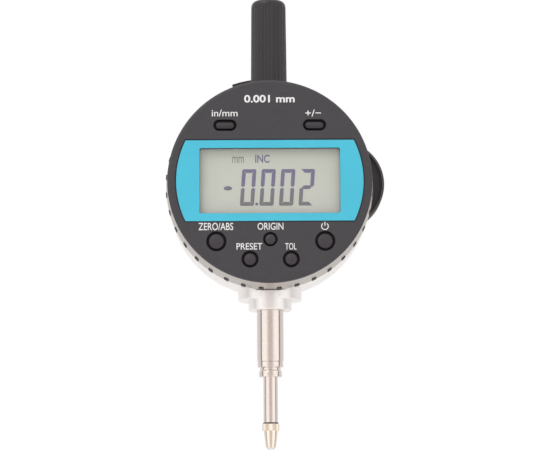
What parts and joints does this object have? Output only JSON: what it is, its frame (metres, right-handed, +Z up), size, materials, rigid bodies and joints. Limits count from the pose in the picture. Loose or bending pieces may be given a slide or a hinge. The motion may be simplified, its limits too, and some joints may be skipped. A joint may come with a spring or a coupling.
{
  "type": "dial indicator",
  "caption": "Electronic dial indicator: round digital display head that turns on a metal case, with a straight stem, a sprung measuring spindle, a battery drawer and a dust cap.",
  "frame": {"origin": "on the measuring axis, at the shoulder where the stem leaves the collar of the case", "axes": "+Z up along the measuring axis, away from the contact point; +Y back, away from the reader; +X to the reader's right"},
  "size_m": [0.066, 0.0337, 0.1382],
  "materials": {
    "face_plastic": "fine-textured dark grey moulding",
    "panel_blue": "satin sky-blue film",
    "window_clear": "clear polished window",
    "lcd": "grey-green liquid crystal cell",
    "black_plastic": "moulded black plastic",
    "black_rubber": "matt dark rubber",
    "circuit_board": "green solder mask",
    "ground_steel": "ground and polished steel",
    "silver_ring": "fine turned satin aluminium",
    "case_metal": "bead-blasted pale casting",
    "contact_steel": "warm bright turned steel",
    "carbide": "polished ball",
    "scale_glass": "coated scale",
    "amber_film": "polyimide film",
    "cell_steel": "nickel-plated can"
  },
  "bodies": {
    "case": {"case_shell": "case_metal", "stem": "ground_steel", "lower_bush": "ground_steel", "upper_bush": "ground_steel", "stop_buffer": "black_rubber", "rotation_stop_pin": "ground_steel", "guide_rail": "ground_steel", "sensor_board": "circuit_board", "sensor_bracket": "silver_ring", "bracket_screw_1": "ground_steel", "bracket_screw_2": "ground_steel", "spring_post": "ground_steel", "return_spring": "ground_steel", "flex_cable": "amber_film", "data_port_socket": "black_plastic", "battery_contact_front": "ground_steel", "battery_contact_back": "ground_steel", "back_gasket": "black_rubber", "back_cover": "case_metal", "back_screw_1": "ground_steel", "back_screw_2": "ground_steel", "back_screw_3": "ground_steel", "back_screw_4": "ground_steel"},
    "display": {"face_cover": "face_plastic", "face_panel": "panel_blue", "window_lens": "window_clear", "lcd_glass": "lcd", "lcd_frame": "black_plastic", "contact_strip_top": "black_rubber", "contact_strip_bottom": "black_rubber", "main_board": "circuit_board", "button_mat_upper": "black_rubber", "button_mat_lower": "black_rubber", "microcontroller": "black_plastic", "bezel_ring": "silver_ring", "grip_ring": "black_rubber", "display_carrier": "black_plastic", "retaining_ring": "ground_steel", "hub_screw_1": "ground_steel", "hub_screw_2": "ground_steel", "hub_screw_3": "ground_steel"},
    "spindle": {"spindle_rod": "ground_steel", "stop_collar": "ground_steel", "anti_rotation_pin": "ground_steel", "scale_carrier": "silver_ring", "encoder_scale": "scale_glass", "contact_point": "contact_steel", "contact_ball": "carbide"},
    "battery_tray": {"battery_tray": "black_plastic", "coin_cell": "cell_steel"},
    "dust_cap": {"dust_cap": "black_rubber"},
    "data_port_cover": {"data_port_cover": "black_rubber"},
    "key_units": {"button_units": "black_rubber"},
    "key_sign": {"button_sign": "black_rubber"},
    "key_zero": {"button_zero": "black_rubber"},
    "key_power": {"button_power": "black_rubber"},
    "key_origin": {"button_origin": "black_rubber"},
    "key_preset": {"button_preset": "black_rubber"},
    "key_tolerance": {"button_tolerance": "black_rubber"}
  },
  "joints": [
    {"name": "spindle_travel", "type": "slide", "parent": "case", "child": "spindle", "axis": [0, 0, 1], "range_m": [0, 0.0127], "stiffness_N_per_m": 45, "springref_m": -0.02, "deforming": ["return_spring"]},
    {"name": "display_rotation", "type": "hinge", "parent": "case", "child": "display", "pos_m": [0, 0, 0.0368], "axis": [0, 1, 0], "range_deg": [-135, 135]},
    {"name": "battery_tray_slide", "type": "slide", "parent": "case", "child": "battery_tray", "axis": [1, 0, 0], "range_m": [0, 0.024]},
    {"name": "dust_cap_lift", "type": "slide", "parent": "case", "child": "dust_cap", "axis": [0, 0, 1], "range_m": [0, 0.03]},
    {"name": "data_port_cover_pull", "type": "slide", "parent": "case", "child": "data_port_cover", "axis": [-0.1426, 0, 0.9898], "range_m": [0, 0.008]},
    {"name": "press_units", "type": "slide", "parent": "display", "child": "key_units", "axis": [0, 1, 0], "range_m": [0, 0.0005], "stiffness_N_per_m": 1500, "springref_m": -0.0004},
    {"name": "press_sign", "type": "slide", "parent": "display", "child": "key_sign", "axis": [0, 1, 0], "range_m": [0, 0.0005], "stiffness_N_per_m": 1500, "springref_m": -0.0004},
    {"name": "press_zero", "type": "slide", "parent": "display", "child": "key_zero", "axis": [0, 1, 0], "range_m": [0, 0.0005], "stiffness_N_per_m": 1500, "springref_m": -0.0004},
    {"name": "press_power", "type": "slide", "parent": "display", "child": "key_power", "axis": [0, 1, 0], "range_m": [0, 0.0005], "stiffness_N_per_m": 1500, "springref_m": -0.0004},
    {"name": "press_origin", "type": "slide", "parent": "display", "child": "key_origin", "axis": [0, 1, 0], "range_m": [0, 0.0005], "stiffness_N_per_m": 1500, "springref_m": -0.0004},
    {"name": "press_preset", "type": "slide", "parent": "display", "child": "key_preset", "axis": [0, 1, 0], "range_m": [0, 0.0005], "stiffness_N_per_m": 1500, "springref_m": -0.0004},
    {"name": "press_tolerance", "type": "slide", "parent": "display", "child": "key_tolerance", "axis": [0, 1, 0], "range_m": [0, 0.0005], "stiffness_N_per_m": 1500, "springref_m": -0.0004}
  ]
}
